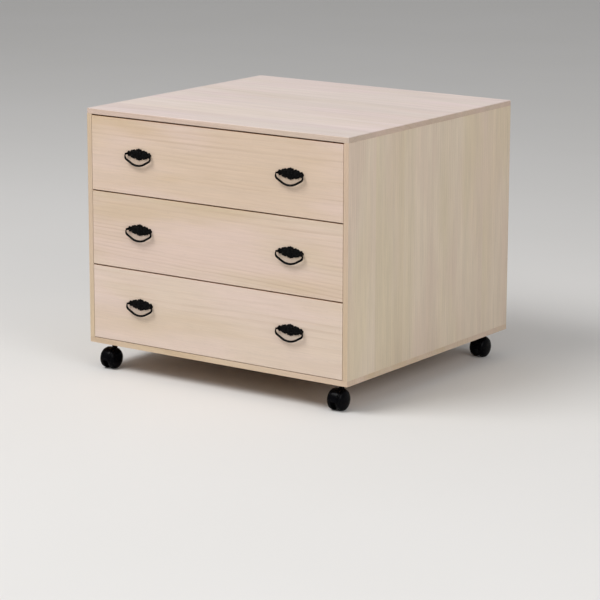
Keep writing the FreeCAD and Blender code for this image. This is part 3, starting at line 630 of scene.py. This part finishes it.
# %% Points along an arc
def arc(centre, radius, start, end, steps):
    """Points of an arc in the plane, in degrees, both ends included."""
    points = []
    for k in range(steps + 1):
        angle = math.radians(start + (end - start) * k / steps)
        points.append((centre[0] + radius * math.cos(angle),
                       centre[1] + radius * math.sin(angle)))
    return points


quarter = arc((0.0, 0.0), 1.0, 0, 90, 2)
print("an arc for a first check:", [(round(x, 2), round(y, 2)) for x, y in quarter])

# %% [markdown]
# ## The edge of a pull plate
#
# The cast plate has eight lobes: one over and one under the middle, two on each flank, and one at
# each tip, all finely scalloped as cast Japanese chest fittings are. Eight cusps, given as shares of
# the plate's size, and an arc from each to the next draw the outline, and a small ripple on every
# arc adds the scallops. The arcs are sampled, because the relief needs a dense skin anyway.

# %% Outline of a plate
PLATE_HALF = 36.5 * MM
PLATE_TALL = 14.2 * MM
CUSP_SHARES = [(0.73, -0.42), (0.73, 0.42), (0.27, 0.74), (-0.27, 0.74),
               (-0.73, 0.42), (-0.73, -0.42), (-0.27, -0.74), (0.27, -0.74)]
END_RISE = 0.27 * PLATE_HALF
SIDE_RISE = 0.16 * PLATE_TALL
TIP_RISE = 0.26 * PLATE_TALL
RISES = [END_RISE, SIDE_RISE, TIP_RISE, SIDE_RISE] * 2
SCALLOPS = [3, 2, 3, 2] * 2
SCALLOP_DEPTH = 1.3 * MM
STEPS_PER_LOBE = 40


def lobe(start, end, rise, scallops):
    """One arc of the outline, rippled, from its first cusp up to the next."""
    chord = end - start
    half = chord.length / 2
    radius = (half * half + rise * rise) / (2 * rise)
    out = Vector((chord.y, -chord.x)).normalized()
    centre = (start + end) / 2 + out * (rise - radius)
    sweep = 2 * math.atan2(half, radius - rise)
    first = math.atan2(start.y - centre.y, start.x - centre.x)
    points = []
    for k in range(STEPS_PER_LOBE):
        share = k / STEPS_PER_LOBE
        angle = first + sweep * share
        reach = radius - SCALLOP_DEPTH * (1 - abs(math.sin(math.pi * scallops * share)))
        points.append(centre + reach * Vector((math.cos(angle), math.sin(angle))))
    return points


cusps = [Vector((across * PLATE_HALF, up * PLATE_TALL)) for across, up in CUSP_SHARES]
plate_edge = []
for k, cusp in enumerate(cusps):
    plate_edge += lobe(cusp, cusps[(k + 1) % len(cusps)], RISES[k], SCALLOPS[k])
print("plate outline:", len(plate_edge), "points,",
      round(2 * max(p.x for p in plate_edge) / MM, 1), "mm wide")

# %% [markdown]
# ## The relief on a plate
#
# A traditional spray of blossoms fills the plate: a full one in the middle, smaller ones toward the
# tips, leaves between them and a row of beads inside the edge. A height for every point is enough,
# so each flower is a low dome whose edge waves in and out with its petals, and the highest of all
# shapes at a point wins, as it would in a carved pattern. It could be a bump map, but a crest that
# stands a millimetre proud has to show in the outline when the plate is seen from the side.

# %% Blossoms and leaves
BLOSSOMS = [((0, 0), 8.6, 8, 2.1), ((15.6, 0.6), 5.9, 6, 1.5), ((-15.6, 0.6), 5.9, 6, 1.5),
            ((25.6, 0), 4.3, 5, 1.2), ((-25.6, 0), 4.3, 5, 1.2)]
LEAVES = [((8.6, 6.9), 4.6, 1.9, 28), ((8.6, -6.9), 4.6, 1.9, -28),
          ((0, 10.6), 3.0, 1.7, 90), ((0, -10.6), 3.0, 1.7, 90),
          ((20.6, 4.8), 3.6, 1.5, -16), ((20.6, -4.8), 3.6, 1.5, 16),
          ((31.6, 2.4), 2.6, 1.2, -35), ((31.6, -2.4), 2.6, 1.2, 35)]


def blossom(x, y, centre, reach, petals, height):
    """Height in millimetres of a dome with a waved edge and a raised heart."""
    across, up = (x - centre[0]) / reach, (y - centre[1]) / reach
    away = math.hypot(across, up)
    turn = abs(math.cos(petals * math.atan2(up, across) / 2))
    edge = 0.78 + 0.22 * turn ** 0.6
    if away >= edge:
        return 0.0
    petal = height * math.sqrt(1 - (away / edge) ** 2) * (0.55 + 0.45 * turn ** 0.5)
    if away < 0.3:
        petal = max(petal, height * (0.85 + 0.35 * math.sqrt(1 - (away / 0.3) ** 2)))
    return petal


def leaf(x, y, centre, length, width, tilt):
    """Height in millimetres of a long dome with a vein along its middle."""
    turn = math.radians(tilt)
    across = (x - centre[0]) * math.cos(turn) + (y - centre[1]) * math.sin(turn)
    up = (y - centre[1]) * math.cos(turn) - (x - centre[0]) * math.sin(turn)
    away = (across / length) ** 2 + (up / width) ** 2
    if away >= 1:
        return 0.0
    vein = 0.35 * math.exp(-(up / (0.18 * width)) ** 2)
    return 1.25 * math.sqrt(1 - away) - vein


print("the middle blossom is", round(blossom(0, 0, *BLOSSOMS[0]), 2), "mm high at its heart")

# %% Height of the whole relief
PLATE_RIM = 1.1 * MM
PLATE_FIELD = 1.9 * MM
PLATE_CROWN = 0.9 * MM
BEAD_HEIGHT = 0.45 * MM
BEAD_PLACE = 0.9
BEAD_WIDTH = 0.035
BEADS = 76
ROUND_PLACE = 0.95
ROUND_WIDTH = 0.05


def relief(point, out, turn):
    """Height of the plate at a point, given how far out it is and where round the edge."""
    x, y = point.x / MM, point.y / MM
    carved = 0.0
    for centre, reach, petals, height in BLOSSOMS:
        carved = max(carved, blossom(x, y, centre, reach, petals, height))
    for side in (1, -1):
        for centre, length, width, tilt in LEAVES:
            carved = max(carved, leaf(side * x, y, centre, length, width, tilt))
    field = PLATE_FIELD + PLATE_CROWN * (1 - out * out) + carved * MM
    ring = math.exp(-((out - BEAD_PLACE) / BEAD_WIDTH) ** 2)
    field += BEAD_HEIGHT * ring * (0.35 + 0.65 * abs(math.sin(math.pi * BEADS * turn)))
    if out > ROUND_PLACE:
        share = (out - ROUND_PLACE) / ROUND_WIDTH
        field = PLATE_RIM + (field - PLATE_RIM) * math.sqrt(max(0.0, 1 - share * share))
    return field


crest = relief(Vector((0, 0)), 0, 0)
print("relief stands", round(crest / MM, 2), "mm off the drawer at most")

# %% [markdown]
# ## Plates with their lugs
#
# A plate is rows of points from a small ring in its middle out to the edge and down the rim, closed
# behind by one flat face. Two round-ended lugs stand on it near the tips and hold the pins of the
# bail: each is a short drum turned on a lathe across the pull, with a foot back into the plate.
# All six plates are the same casting, so one mesh serves them all.

# %% Lugs that hold the pins
HINGE_OUT = 6.5 * MM
LUG_OUTER = 34.8 * MM
LUG_THICK = 3.2 * MM
LUG_RADIUS = 2.4 * MM
LUG_EASE = 1.1 * MM
LUG_STEPS = 28
FOOT_INSET = 0.35 * MM
FOOT_ROWS = ((0.4 * MM, 1.25), (2.2 * MM, 1.05), (HINGE_OUT, 0.97))


def rounded_drum(start, end, radius, ease):
    """Profile of a short drum with rounded rims, from one flat end to the other."""
    rim = [(start + ease - ease * math.cos(math.radians(a)),
            radius - ease + ease * math.sin(math.radians(a))) for a in range(0, 91, 15)]
    far = [(end - (along - start), reach) for along, reach in reversed(rim)]
    return [(start, 0.2 * radius)] + rim + far + [(end, 0.2 * radius)]


def lug(mesh, side):
    """A drum round the hinge axis, and a tapered foot from it back into the plate."""
    low, high = sorted((side * (LUG_OUTER - LUG_THICK), side * LUG_OUTER))
    at_hinge = Matrix.Translation((0, -HINGE_OUT, 0))
    lathe(mesh, rounded_drum(low, high, LUG_RADIUS, LUG_EASE), LUG_STEPS, at_hinge)
    low += FOOT_INSET
    high -= FOOT_INSET
    rows = []
    for out, share in FOOT_ROWS:
        half = LUG_RADIUS * share
        rows.append([Vector((low, -out, -half)), Vector((high, -out, -half)),
                     Vector((high, -out, half)), Vector((low, -out, half))])
    skin_rows(mesh, rows)


print("lugs stand", round(2 * LUG_OUTER / MM, 1), "mm apart over their outer faces")

# %% Mesh of a plate
ROWS_OUT = 46
ROW_CROWDING = 0.85
PLATE_BACK = 0.05 * MM
IRON_SHARP = 50


def plate_mesh(name):
    """The plate from its middle to its edge, down the rim, and two lugs on it."""
    mesh = bmesh.new()
    count = len(plate_edge)
    rows = []
    for step in range(1, ROWS_OUT + 1):
        out = (step / ROWS_OUT) ** ROW_CROWDING
        row = []
        for k, corner in enumerate(plate_edge):
            point = corner * out
            row.append(Vector((point.x, -relief(point, out, k / count), point.y)))
        rows.append(row)
    rows.append([Vector((corner.x, -PLATE_BACK, corner.y)) for corner in plate_edge])
    skin_rows(mesh, rows)
    for side in (1, -1):
        lug(mesh, side)
    return as_piece(name, mesh, BLACK_IRON, IRON_SHARP)


first_plate = plate_mesh("lower_left_plate")
print("a plate has", len(first_plate.data.polygons), "faces")

# %% [markdown]
# ## Bails
#
# The bail is a bow of round bar: two legs that swell outward, round shoulders, slanting runs and a
# low grip, with its ends hammered flat into eyes. A curve object with a bevel could draw it, but a
# tube built row by row can change from flat to round along its length and end in eyes with their
# pins. It hangs from the lugs and rides on its own body, so it swings when the frame's bail does.

# %% The path of a bail
BAIL_DROP = 26 * MM
BOW_BELLY = 37.4 * MM
BOW_SHOULDER = 9 * MM
BOW_SLOPE = 29
GRIP_RADIUS = 42 * MM
RUN_STEPS = 5
BEND_STEPS = 12
EYE_THICK = 2.0 * MM
EYE_GAP = 0.4 * MM
BOW_TOP = LUG_OUTER + EYE_GAP + EYE_THICK / 2


def bail_path():
    """Right half of the bow as (x, z) points, from the hinge to the middle of the grip."""
    slope = math.radians(BOW_SLOPE)
    inward = BOW_BELLY - BOW_SHOULDER
    low = (GRIP_RADIUS * math.sin(slope), GRIP_RADIUS * (1 - math.cos(slope)) - BAIL_DROP)
    high_x = inward + BOW_SHOULDER * math.sin(slope)
    high_z = low[1] + (high_x - low[0]) * math.tan(slope)
    leg = -high_z - BOW_SHOULDER * math.cos(slope)
    points = []
    for k in range(RUN_STEPS):
        swell = math.sin(math.pi * k / (2 * RUN_STEPS))
        points.append((BOW_TOP + (BOW_BELLY - BOW_TOP) * swell, -leg * k / RUN_STEPS))
    points += arc((inward, -leg), BOW_SHOULDER, 0, BOW_SLOPE - 90, BEND_STEPS)
    points += [(high_x + (low[0] - high_x) * k / RUN_STEPS,
                high_z + (low[1] - high_z) * k / RUN_STEPS) for k in range(1, RUN_STEPS)]
    points += arc((0, GRIP_RADIUS - BAIL_DROP), GRIP_RADIUS, BOW_SLOPE - 90, -90, BEND_STEPS)
    return points


print("half a bail has", len(bail_path()), "points and hangs", round(BAIL_DROP / MM, 1), "mm")

# %% Mesh of a bail
BAR_ENDS = 2.0 * MM
BAR_MIDDLE = 2.6 * MM
BAR_STEPS = 18
FLAT_PARTS = 5
EYE_RADIUS = 2.0 * MM
EYE_EASE = 0.8 * MM
PIN_RADIUS = 1.3 * MM
PIN_LENGTH = 2.8 * MM
PIN_EASE = 0.3 * MM


def bail_mesh(name):
    """The bar along its path, flat at the ends and round between, with two eyes and pins."""
    half = bail_path()
    path = half + [(-x, z) for x, z in reversed(half[:-1])]
    last = len(path) - 1
    outward = Vector((0, 1, 0))
    mesh = bmesh.new()
    rows = []
    for k, (x, z) in enumerate(path):
        before = path[max(k - 1, 0)]
        after = path[min(k + 1, last)]
        ahead = Vector((after[0] - before[0], 0, after[1] - before[1])).normalized()
        aside = outward.cross(ahead)
        share = min(1.0, FLAT_PARTS * min(k, last - k) / last)
        share = share * share * (3 - 2 * share)
        tall = BAR_ENDS + (BAR_MIDDLE - BAR_ENDS) * share
        wide = EYE_THICK / 2 + (BAR_MIDDLE - EYE_THICK / 2) * share
        row = []
        for j in range(BAR_STEPS):
            angle = 2 * math.pi * j / BAR_STEPS
            row.append(Vector((x, 0, z)) + wide * math.cos(angle) * aside
                       + tall * math.sin(angle) * outward)
        rows.append(row)
    skin_rows(mesh, rows)
    for side in (1, -1):
        low, high = sorted((side * (BOW_TOP - EYE_THICK / 2), side * (BOW_TOP + EYE_THICK / 2)))
        lathe(mesh, rounded_drum(low, high, EYE_RADIUS, EYE_EASE), LUG_STEPS, Matrix())
        low, high = sorted((side * (BOW_TOP - EYE_THICK / 2 - PIN_LENGTH), side * BOW_TOP))
        lathe(mesh, rounded_drum(low, high, PIN_RADIUS, PIN_EASE), BAR_STEPS, Matrix())
    return as_piece(name, mesh, BLACK_IRON, IRON_SHARP)


first_bail = bail_mesh("lower_left_bail_bow")
print("a bail has", len(first_bail.data.polygons), "faces")

# %% [markdown]
# ## Hang the pulls on the drawers
#
# Each pull sits where the frame has it. The hinge joint of every bail gives the axis, so the place is
# read from the joint and not typed again. The plate rides on its drawer and stands for the frame's
# plain pair of plates, and the bow rides on its own bail body. Copies share the first one's mesh.

# %% Place plates and bails
joints = {joint["name"]: joint for joint in frame["joints"]}
for name in LEVELS:
    for side in ("left", "right"):
        hinge = Vector(joints[f"{name}_{side}_bail_lift"]["pos_m"])
        if (name, side) == ("lower", "left"):
            plate, bow = first_plate, first_bail
        else:
            plate = another(first_plate, f"{name}_{side}_plate")
            bow = another(first_bail, f"{name}_{side}_bail_bow")
        plate.location = hinge + Vector((0, HINGE_OUT, 0))
        bow.location = hinge
        bpy.context.view_layer.update()
        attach(plate, f"{name}_drawer")
        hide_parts(f"{name}_pull_plates")
        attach(bow, f"{name}_{side}_bail")
        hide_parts(f"{name}_{side}_bail")
print("pulls hung:", 2 * len(LEVELS))

# %% [markdown]
# ## Ball casters
#
# A ball caster has two domed wheels on one axle and a moulded hood over and between them, so that the
# whole reads as a black ball under a short neck. A wheel is a lathe job: a tread, a shallow groove
# where tyre meets wheel, a dome and a small cap. The hood is one cross-section, a web with a crowned
# cover on it, carried round the axle through the angle that it covers, with a hub and a neck.

# %% Mesh of a wheel
WHEEL_RADIUS = 25 * MM
WHEEL_INNER = 6.8 * MM
WHEEL_OUTER = 22.8 * MM
WHEEL_STEPS = 96
WHEEL_SHARP = 32
TREAD_END = 13.6 * MM
TREAD_ROUND = 1.2 * MM
GROOVE_START = TREAD_END - 1.6 * MM
DOME_STEPS = 24
CAP_RADIUS = 6 * MM
BORE_RADIUS = 3 * MM


def wheel_profile():
    """Wheel from its inner face out over the tread and the dome to the cap."""
    profile = [(WHEEL_INNER, BORE_RADIUS), (WHEEL_INNER, WHEEL_RADIUS - TREAD_ROUND)]
    for degrees in range(15, 91, 15):
        angle = math.radians(degrees)
        profile.append((WHEEL_INNER + TREAD_ROUND - TREAD_ROUND * math.cos(angle),
                        WHEEL_RADIUS - TREAD_ROUND + TREAD_ROUND * math.sin(angle)))
    profile += [(TREAD_END - 2.2 * MM, WHEEL_RADIUS), (GROOVE_START, WHEEL_RADIUS - 0.1 * MM),
                (TREAD_END - 1.2 * MM, WHEEL_RADIUS - 0.6 * MM),
                (TREAD_END - 0.8 * MM, WHEEL_RADIUS - 0.5 * MM)]
    for k in range(DOME_STEPS + 1):
        angle = math.radians(90 * k / DOME_STEPS)
        along = TREAD_END - 0.5 * MM + (WHEEL_OUTER - TREAD_END) * math.sin(angle)
        reach = CAP_RADIUS + (WHEEL_RADIUS - 0.35 * MM - CAP_RADIUS) * math.cos(angle) ** 1.1
        profile.append((along, reach))
    profile += [(WHEEL_OUTER - 0.9 * MM, CAP_RADIUS - 0.5 * MM),
                (WHEEL_OUTER - 0.6 * MM, BORE_RADIUS), (WHEEL_OUTER - 0.5 * MM, 0.5 * MM)]
    return profile


def wheel_mesh(name):
    """A turned wheel of nylon, with a tread of its own black up to the groove."""
    mesh = bmesh.new()
    lathe(mesh, wheel_profile(), WHEEL_STEPS, Matrix())
    piece = as_piece(name, mesh, BLACK_NYLON, WHEEL_SHARP)
    piece.data.materials.append(TYRE)
    for face in piece.data.polygons:
        if face.center.x < GROOVE_START:
            face.material_index = 1
    return piece


first_wheel = wheel_mesh("front_left_right_ball")
print("a wheel has", len(first_wheel.data.polygons), "faces")

# %% Cross-section of a hood
WEB_HALF = 6.2 * MM
COVER_HALF = 11.2 * MM
COVER_INNER = 25.8 * MM
COVER_OUTER = 26.9 * MM
CROWN = 0.9 * MM
CROWN_STEPS = 8


def hood_section(swell):
    """The web and its crowned cover as (along the axle, away from it), anticlockwise."""
    right = [(WEB_HALF, 1.0 * MM), (WEB_HALF, COVER_INNER - 1.2 * MM),
             (WEB_HALF + 0.4 * MM, COVER_INNER - 0.3 * MM), (WEB_HALF + 1.2 * MM, COVER_INNER),
             (COVER_HALF, COVER_INNER), (COVER_HALF + 0.1 * MM, COVER_INNER + 0.4 * MM)]
    crown = []
    for k in range(CROWN_STEPS + 1):
        share = 1 - 2 * k / CROWN_STEPS
        crown.append((share * (COVER_HALF - 0.2 * MM),
                      COVER_OUTER - CROWN * share ** 4 - (1 - swell) * 0.8 * MM))
    left = [(-along, away) for along, away in reversed(right)]
    return [left[-1]] + right + crown + left[:-1]


print("a hood's section has", len(hood_section(1.0)), "points")

# %% Mesh of a hood
COVER_START = 85
COVER_SWEEP = 190
COVER_STEPS = 48
HUB_RADIUS = 6 * MM
TRAIL = 12 * MM
NECK_RADIUS = 6 * MM
NECK_TOP = 58 * MM
NECK_STEPS = 40
HOOD_SHARP = 35
# The neck from below: height over the floor and radius, with a collar between 44 and 52.5 mm.
NECK = [(36 * MM, 3.9 * MM), (36 * MM, NECK_RADIUS - 0.6 * MM), (36.6 * MM, NECK_RADIUS),
        (44 * MM, NECK_RADIUS), (47 * MM, NECK_RADIUS + 0.5 * MM),
        (49 * MM, NECK_RADIUS + 1.2 * MM), (50.5 * MM, NECK_RADIUS + 0.5 * MM),
        (52.5 * MM, NECK_RADIUS), (NECK_TOP - 0.6 * MM, NECK_RADIUS),
        (NECK_TOP, NECK_RADIUS - 0.6 * MM), (NECK_TOP, 4.1 * MM)]


def hood_mesh(name):
    """Hood about its own axle, the neck behind and above it."""
    mesh = bmesh.new()
    rows = []
    for k in range(COVER_STEPS + 1):
        share = k / COVER_STEPS
        swell = min(1.0, min(share, 1 - share) * 16)
        angle = math.radians(COVER_START + COVER_SWEEP * share)
        out = Vector((0, math.sin(angle), -math.cos(angle)))
        rows.append([Vector((x, 0, 0)) + reach * out for x, reach in hood_section(swell)])
    skin_rows(mesh, rows)
    lathe(mesh, rounded_drum(-WEB_HALF, WEB_HALF, HUB_RADIUS, 0.5 * MM), NECK_STEPS, Matrix())
    upright = Matrix.Rotation(math.radians(-90), 4, "Y")
    upright = Matrix.Translation((0, TRAIL, -WHEEL_RADIUS)) @ upright
    lathe(mesh, NECK, NECK_STEPS, upright)
    return as_piece(name, mesh, BLACK_NYLON, HOOD_SHARP)


first_hood = hood_mesh("front_left_hood")
print("a hood has", len(first_hood.data.polygons), "faces")

# %% [markdown]
# ## Stand the chest on its casters
#
# The roll joint of each wheel gives the axle. A left wheel is the right one turned half round, which
# keeps its dome outward. Hoods ride on the swivelling bodies and wheels on their own, so the ball
# turns about its neck and the wheels about the axle.

# %% Place hoods and wheels
for corner in ("front_left", "front_right", "rear_left", "rear_right"):
    for side in ("left", "right"):
        node = f"{corner}_caster_{side}_wheel"
        axle = Vector(joints[f"{node}_roll"]["pos_m"])
        if (corner, side) == ("front_left", "right"):
            ball = first_wheel
        else:
            ball = another(first_wheel, f"{corner}_{side}_ball")
        turn = math.pi if side == "left" else 0.0
        ball.matrix_world = Matrix.Translation(axle) @ Matrix.Rotation(turn, 4, "Z")
        bpy.context.view_layer.update()
        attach(ball, node)
        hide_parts(node)
    if corner == "front_left":
        hood = first_hood
    else:
        hood = another(first_hood, f"{corner}_hood")
    hood.location = axle
    bpy.context.view_layer.update()
    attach(hood, f"{corner}_caster")
    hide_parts(f"{corner}_caster_hood")
print("casters set at", [round(v, 4) for v in axle])

# %% [markdown]
# ## Floor, sky and light
#
# The chest stands on a wide pale studio floor. A soft sky, brighter overhead than at the horizon,
# keeps the gaps and the space under the chest dark. A large soft box high at the front left lights
# the top and the drawer fronts, and a weaker one lifts the right side, as in the photograph. The
# strengths are set so that a colour renders about as it is written. What the camera, glass and
# glossy skins see of the sky is a separate even tone, so the backdrop adds no light to the wood.

# %% Floor
FLOOR_HALF = 14.0
FLOOR_TONE = shade(224, 222, 219)
FLOOR_CLOUD = shade(228, 226, 224)
floor_mesh = bmesh.new()
bmesh.ops.create_grid(floor_mesh, x_segments=2, y_segments=2, size=FLOOR_HALF)
floor_skin = Finish("studio floor")
cloudy = floor_skin.noise(floor_skin.place.outputs["Object"], 1.3, 2.0)
floor_skin.feed(floor_skin.surface.inputs["Base Color"],
                floor_skin.blend(cloudy, FLOOR_TONE, FLOOR_CLOUD))
floor_skin.surface.inputs["Roughness"].default_value = 0.75
floor = as_piece("studio_floor", floor_mesh, floor_skin.material)
print("floor laid,", 2 * FLOOR_HALF, "m wide")

# %% Sky and backdrop
SKY_HIGH = 0.485
SKY_LOW = 0.14
SKY_TURN = 0.9
SKY_TINT = (0.985, 0.99, 1.0, 1.0)
BACKDROP = shade(176, 176, 174)
world = bpy.data.worlds.new("studio sky")
bpy.context.scene.world = world
world.use_nodes = True
sky = world.node_tree
sky.nodes.clear()
way_up = sky.nodes.new("ShaderNodeTexCoord")
height = sky.nodes.new("ShaderNodeSeparateXYZ")
rise = sky.nodes.new("ShaderNodeMapRange")
rise.interpolation_type = "SMOOTHSTEP"
rise.inputs["From Min"].default_value = 0.0
rise.inputs["From Max"].default_value = SKY_TURN
rise.inputs["To Min"].default_value = SKY_LOW
rise.inputs["To Max"].default_value = SKY_HIGH
even = sky.nodes.new("ShaderNodeBackground")
even.inputs["Color"].default_value = SKY_TINT
sky.links.new(way_up.outputs["Generated"], height.inputs[0])
sky.links.new(height.outputs["Z"], rise.inputs["Value"])
sky.links.new(rise.outputs[0], even.inputs["Strength"])
seen = sky.nodes.new("ShaderNodeBackground")
seen.inputs["Color"].default_value = BACKDROP
rays = sky.nodes.new("ShaderNodeLightPath")
either = sky.nodes.new("ShaderNodeMath")
either.operation = "MAXIMUM"
any_of = sky.nodes.new("ShaderNodeMath")
any_of.operation = "MAXIMUM"
chosen = sky.nodes.new("ShaderNodeMixShader")
sky_out = sky.nodes.new("ShaderNodeOutputWorld")
sky.links.new(rays.outputs["Is Camera Ray"], either.inputs[0])
sky.links.new(rays.outputs["Is Transmission Ray"], either.inputs[1])
sky.links.new(either.outputs[0], any_of.inputs[0])
sky.links.new(rays.outputs["Is Glossy Ray"], any_of.inputs[1])
sky.links.new(any_of.outputs[0], chosen.inputs[0])
sky.links.new(even.outputs[0], chosen.inputs[1])
sky.links.new(seen.outputs[0], chosen.inputs[2])
sky.links.new(chosen.outputs[0], sky_out.inputs["Surface"])
print("sky from", SKY_LOW, "at the horizon to", SKY_HIGH, "overhead")

# %% Soft boxes
AIM = Vector((0, 0, 0.3))
BOXES = (("key_box", (-0.32, -0.51, 0.80), 5.5, (3.0, 2.6), 0.65),
         ("fill_box", (0.86, -0.30, 0.40), 5.0, (2.6, 2.6), 0.31))


def soft_box(name, place, size, watts):
    """A rectangular lamp at a place, turned toward the chest."""
    lamp = bpy.data.lights.new(name, "AREA")
    lamp.shape = "RECTANGLE"
    lamp.size, lamp.size_y = size
    lamp.energy = watts
    box = bpy.data.objects.new(name, lamp)
    bpy.context.scene.collection.objects.link(box)
    box.location = place
    box.rotation_euler = (AIM - place).to_track_quat("-Z", "Y").to_euler()


def watts_for(share, distance):
    """Power that lights a white surface facing the box to a share of full white."""
    return share * (math.pi * distance) ** 2


for name, way, distance, size, share in BOXES:
    watts = watts_for(share, distance)
    soft_box(name, Vector(way).normalized() * distance + AIM, size, watts)
    print(name, "at", distance, "m:", round(watts), "W")

# %% [markdown]
# ## The camera of the photograph
#
# The place, turn and lens of the camera were worked out from the straight edges of the carcass, whose
# width is known. A real lens can be shifted, which keeps upright edges upright. Here the camera is
# tilted a little instead and the shift stays zero, so that every other view frames the chest alike.

# %% Camera
EYE = Vector((3.51, -4.98, 1.5435))
YAW = 35.168
PITCH = 12.850
ROLL = 0.14
FRAME_PIXELS = 600
FOCAL_PIXELS = 2564
SENSOR_WIDTH = 36
lens = bpy.data.cameras.new("photo_view")
lens.sensor_fit = "HORIZONTAL"
lens.sensor_width = SENSOR_WIDTH
lens.lens = FOCAL_PIXELS * SENSOR_WIDTH / FRAME_PIXELS
camera = bpy.data.objects.new("photo_view", lens)
bpy.context.scene.collection.objects.link(camera)
camera.matrix_world = (Matrix.Translation(EYE) @ Matrix.Rotation(math.radians(YAW), 4, "Z")
                       @ Matrix.Rotation(math.radians(90 - PITCH), 4, "X")
                       @ Matrix.Rotation(math.radians(ROLL), 4, "Z"))
bpy.context.scene.camera = camera
bpy.context.scene.view_settings.view_transform = "Standard"
print("lens", round(lens.lens, 2), "mm")
